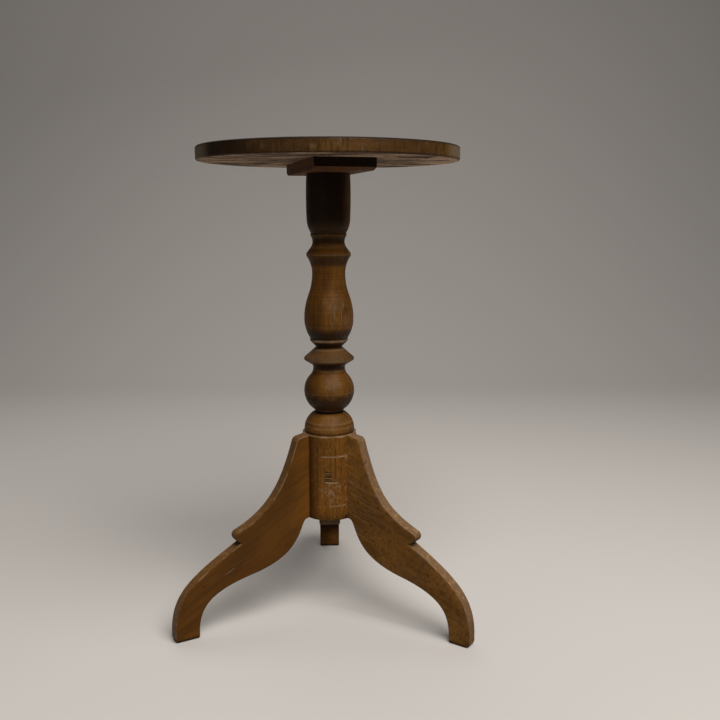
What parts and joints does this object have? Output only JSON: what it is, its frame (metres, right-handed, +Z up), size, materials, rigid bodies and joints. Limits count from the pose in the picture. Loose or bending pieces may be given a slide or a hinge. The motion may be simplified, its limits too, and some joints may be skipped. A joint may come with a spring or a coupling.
{
  "type": "wine table",
  "caption": "Round-topped tripod side table: a plain wooden disc screwed to a bearer on a turned baluster pillar, carried by sawn cabriole legs dovetailed into the pillar's base.",
  "frame": {"origin": "on the floor, under the middle of the table's bounding box", "axes": "+Z up along the pillar; the rear leg points along +Y, so -Y faces the viewer of the picture; +X to the right"},
  "size_m": [0.4476, 0.4524, 0.72],
  "materials": {
    "top_wood": "waxed",
    "bearer_wood": "matte",
    "screw_iron": "dull",
    "pillar_wood": "waxed",
    "wedge_wood": "matte",
    "leg_wood": "waxed"
  },
  "bodies": {
    "root": {"table_top": "top_wood", "bearer": "bearer_wood", "bearer_screws": "screw_iron", "pillar": "pillar_wood", "spigot_wedge": "wedge_wood", "leg_left": "leg_wood", "leg_right": "leg_wood", "leg_rear": "leg_wood"}
  },
  "joints": []
}
